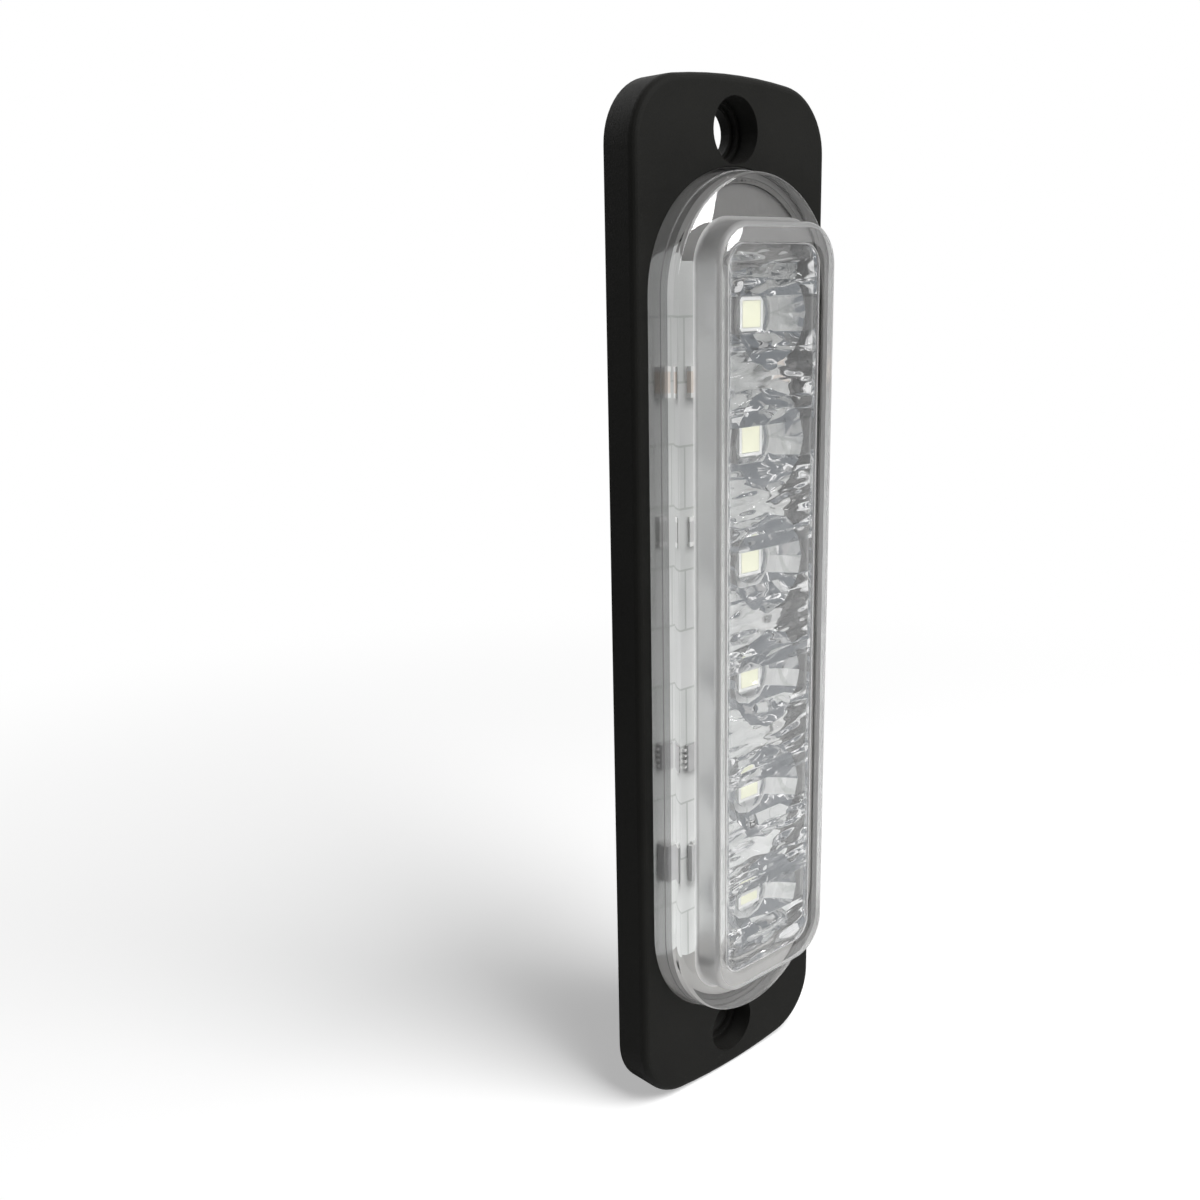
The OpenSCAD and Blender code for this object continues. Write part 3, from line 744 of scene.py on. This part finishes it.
def rippled(material):
    """Flat waves in the acrylic between the LEDs, which break up what shows through."""
    nodes, links = material.node_tree.nodes, material.node_tree.links
    place = nodes.new("ShaderNodeTexCoord")
    stretched = nodes.new("ShaderNodeMapping")
    stretched.inputs["Scale"].default_value = WAVE_SCALE
    ripples = nodes.new("ShaderNodeTexNoise")
    ripples.inputs["Scale"].default_value = 1
    ripples.inputs["Detail"].default_value = 1
    parts = nodes.new("ShaderNodeSeparateXYZ")
    from_gap = nodes.new("ShaderNodeMath")
    from_gap.operation = "PINGPONG"
    from_gap.inputs[1].default_value = LED_PITCH / 2
    in_gap = nodes.new("ShaderNodeMapRange")
    in_gap.inputs["From Min"].default_value = WAVES_END
    in_gap.inputs["From Max"].default_value = WAVES_FULL
    waves = nodes.new("ShaderNodeMath")
    waves.operation = "MULTIPLY"
    bump = nodes.new("ShaderNodeBump")
    bump.inputs["Distance"].default_value = WAVE_DEPTH
    links.new(place.outputs["Object"], stretched.inputs["Vector"])
    links.new(stretched.outputs[0], ripples.inputs["Vector"])
    links.new(place.outputs["Object"], parts.inputs[0])
    links.new(parts.outputs["Z"], from_gap.inputs[0])
    links.new(from_gap.outputs[0], in_gap.inputs["Value"])
    links.new(ripples.outputs["Fac"], waves.inputs[0])
    links.new(in_gap.outputs[0], waves.inputs[1])
    links.new(waves.outputs[0], bump.inputs["Height"])
    links.new(bump.outputs["Normal"], nodes["Principled BSDF"].inputs["Normal"])
    return material


# Sizes, and heights from the back face, in mm. Those of the feet and the LED row are in m.
PLATE_W, PLATE_L, PLATE_CORNER = 13.6, 80, 2
PLATE_Z, FRONT_Z, HORN_Z, HOLLOW_Z = 8.5, 9.4, 3.0, 3.75
HORN_BACK, HORN_FRONT, HOLLOW_R, BULGE = 3.4, 5.5, 2.6, 0.08
PIN_R, PIN_TIP, PIN_ROOT = 0.45, 1.74, 2.9
FACETS, CURVE_STEPS, PIN_STEPS, HOLLOW_STEPS = 12, 8, 24, 48
INTO_PLATE, PAST_BACK = 0.4, 1
FOOT_SIZE, FOOT_FROM_BACK, FOOT_PLACE = (0.008, 0.0062, 0.0012), 0.0058, 0.0374
LED_ROW = [0.033, 0.0198, 0.0066, -0.0066, -0.0198, -0.033]

plate_bm = bmesh.new()
first, last = wall(plate_bm, PLATE_W, PLATE_L, PLATE_CORNER, [(0, PLATE_Z), (0, FRONT_Z)])
bmesh.ops.contextual_create(plate_bm, geom=first[0])
bmesh.ops.contextual_create(plate_bm, geom=last[0])
strip = finish_mesh("strip", plate_bm)
for z in (-FOOT_PLACE, FOOT_PLACE):
    foot_bm = bmesh.new()
    stand = Matrix.Translation((0, -FOOT_FROM_BACK, z)) @ Matrix.Diagonal((*FOOT_SIZE, 1))
    bmesh.ops.create_cube(foot_bm, size=1, matrix=stand)
    cut(strip, finish_mesh("foot", foot_bm), "UNION")
    pin = spun("pin", [(0, PIN_TIP), (PIN_R, PIN_TIP), (PIN_R, PIN_ROOT), (0, PIN_ROOT)], z, PIN_STEPS)
    cut(strip, pin, "UNION")
for z in LED_ROW:
    side = []
    for i in range(CURVE_STEPS + 1):
        r = HORN_BACK + (HORN_FRONT - HORN_BACK) * i / CURVE_STEPS
        share = (r * r - HORN_BACK ** 2) / (HORN_FRONT ** 2 - HORN_BACK ** 2)
        side.append((r, HORN_Z + (PLATE_Z - HORN_Z) * share))
    front = [(HORN_FRONT, PLATE_Z + INTO_PLATE), (0, PLATE_Z + INTO_PLATE)]
    cut(strip, spun("horn", [(0, HORN_Z)] + side + front, z, FACETS), "UNION")
for z in LED_ROW:
    dome = [(HOLLOW_R * (1 - i / CURVE_STEPS), HOLLOW_Z - BULGE * (1 - (1 - i / CURVE_STEPS) ** 2))
            for i in range(CURVE_STEPS + 1)]
    back = [(0, HORN_Z - PAST_BACK), (HOLLOW_R, HORN_Z - PAST_BACK)]
    cut(strip, spun("hollow", back + dome, z, HOLLOW_STEPS), "DIFFERENCE")
strip_bm = bmesh.new()
strip_bm.from_mesh(strip.data)
bmesh.ops.remove_doubles(strip_bm, verts=strip_bm.verts, dist=1e-7)
bmesh.ops.holes_fill(strip_bm, edges=strip_bm.edges, sides=4)
bpy.data.objects.remove(strip)
strip = finish_mesh("collimator_strip", strip_bm, sharp=15)
# The acrylic's rays end after fewer steps, in a darker painted glow.
acrylic = clear_plastic("optic_clear", 1.49, most_steps=6.5, painted_glow_colour=(0.16, 0.175, 0.19))
strip.data.materials.append(rippled(acrylic))
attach(strip, "root")
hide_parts("optic_strip")

# Clear cover: polycarbonate, moulded in one piece: a thick flange with round ends and a raised hollow block,
# whose skirt stands on the ledge over the sealing bead. Flange front and window are polished, the flange's
# side is frosted, the block's rim and walls are hazy, and glue wets the flange's back.

# Width, length and corner radius of each outline, and heights from the back face, in mm
FLANGE, BLOCK = (25.2, 95.1, 12.6), (18.9, 84.8, 4.6)
FLANGE_HOLLOW, BLOCK_HOLLOW = (22.8, 92.7, 11.4), (14.5, 80.4, 2.4)
SKIRT_Z, PARTING_Z, CEILING_Z, FLANGE_Z, BLOCK_CEILING_Z, BLOCK_Z = 3.0, 5.75, 4.6, 7.7, 9.5, 10.6
PARTING_STEP, DRAFT, FROST_TOP, WINDOW_INSET = 0.12, 0.12, (0.2, 6.6), 2.2
FLANGE_EDGE_R, FILLET_R, BLOCK_EDGE_R, HOLLOW_EDGE_R = 0.4, 0.4, 0.6, 0.3
# Places of the finishes in the cover's list of materials, which starts with the polished one
WETTED, SIDE, RIM, WALLS = 1, 2, 3, 4

cover_bm = bmesh.new()
flange_side = [(0, SKIRT_Z), (0, PARTING_Z), (PARTING_STEP, PARTING_Z), FROST_TOP]
outer_foot, frosted_to = wall(cover_bm, *FLANGE, flange_side)
frosted_faces = set(cover_bm.faces)
flange_round = rounded_over(PARTING_STEP + DRAFT, FLANGE_Z, FLANGE_EDGE_R)
_, flange_edge = wall(cover_bm, *FLANGE, flange_round, frosted_to)
block_edge = rounded_over(DRAFT, BLOCK_Z, BLOCK_EDGE_R)
block_foot, *block_side = rounded_up(0, FLANGE_Z, FILLET_R) + block_edge
_, flange_front = wall(cover_bm, *BLOCK, [block_foot], flange_edge)
flange_faces = set(cover_bm.faces)
_, block_front = wall(cover_bm, *BLOCK, block_side, flange_front)
block_walls = set(cover_bm.faces) - flange_faces
_, window = wall(cover_bm, *BLOCK, [(WINDOW_INSET, BLOCK_Z)], block_front)
block_rim = set(cover_bm.faces) - flange_faces - block_walls
bmesh.ops.contextual_create(cover_bm, geom=window[0])
outer_faces = set(cover_bm.faces)
skirt = [(0, SKIRT_Z)] + rounded_over(0, CEILING_Z, HOLLOW_EDGE_R)
_, flange_ceiling = wall(cover_bm, *FLANGE_HOLLOW, skirt, outer_foot)
_, hollow_foot = wall(cover_bm, *BLOCK_HOLLOW, [(0, CEILING_Z)], flange_ceiling)
wetted_faces = set(cover_bm.faces) - outer_faces
block_inside = rounded_over(0, BLOCK_CEILING_Z, HOLLOW_EDGE_R)
_, block_ceiling = wall(cover_bm, *BLOCK_HOLLOW, block_inside, hollow_foot)
bmesh.ops.contextual_create(cover_bm, geom=block_ceiling[0])
for finish, faces in ((WETTED, wetted_faces), (SIDE, frosted_faces), (RIM, block_rim), (WALLS, block_walls)):
    for face in faces:
        face.material_index = finish
cover = finish_mesh("clear_cover", cover_bm)
cover.modifiers.new("even_shading", "WEIGHTED_NORMAL").keep_sharp = True
for material in (
        clear_plastic("cover_clear", 1.58, most_steps=8.5),
        clear_plastic("cover_wetted", 1.0),
        clear_plastic("cover_side", 1.58, haze=0.04, frost=0.75, blur=0.23),
        clear_plastic("cover_rim", 1.58, most_steps=8.5, haze=0.16),
        clear_plastic("cover_walls", 1.58, most_steps=8.5, haze=0.24, shade=0.12, blur=0.36)):
    cover.data.materials.append(material)
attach(cover, "root")
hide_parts("lens_cover")

# Strip lamp: an upright bright panel that lights the clear cover alone. Its lower left corner shows in the
# polished flange as the white patch at the upper left of the cover.
PATCH_CORNER = Vector((-0.0070, -0.0077, 0.0440))
LAMP_W, LAMP_H, LAMP_RADIANCE = 0.044, 0.060, 16
LAMP_AZIMUTH, LAMP_AWAY, LAMP_ABOVE = 45.5, 0.5, Vector((0, 0, 0.0492))

way = towards(LAMP_AZIMUTH, 0)
place = PATCH_CORNER + way * LAMP_AWAY + LAMP_ABOVE
strip_lamp = panel_lamp("strip_lamp", LAMP_W, LAMP_H, LAMP_RADIANCE, way, place)
lights_only(strip_lamp, cover)

bpy.context.scene.view_settings.view_transform = "Standard"
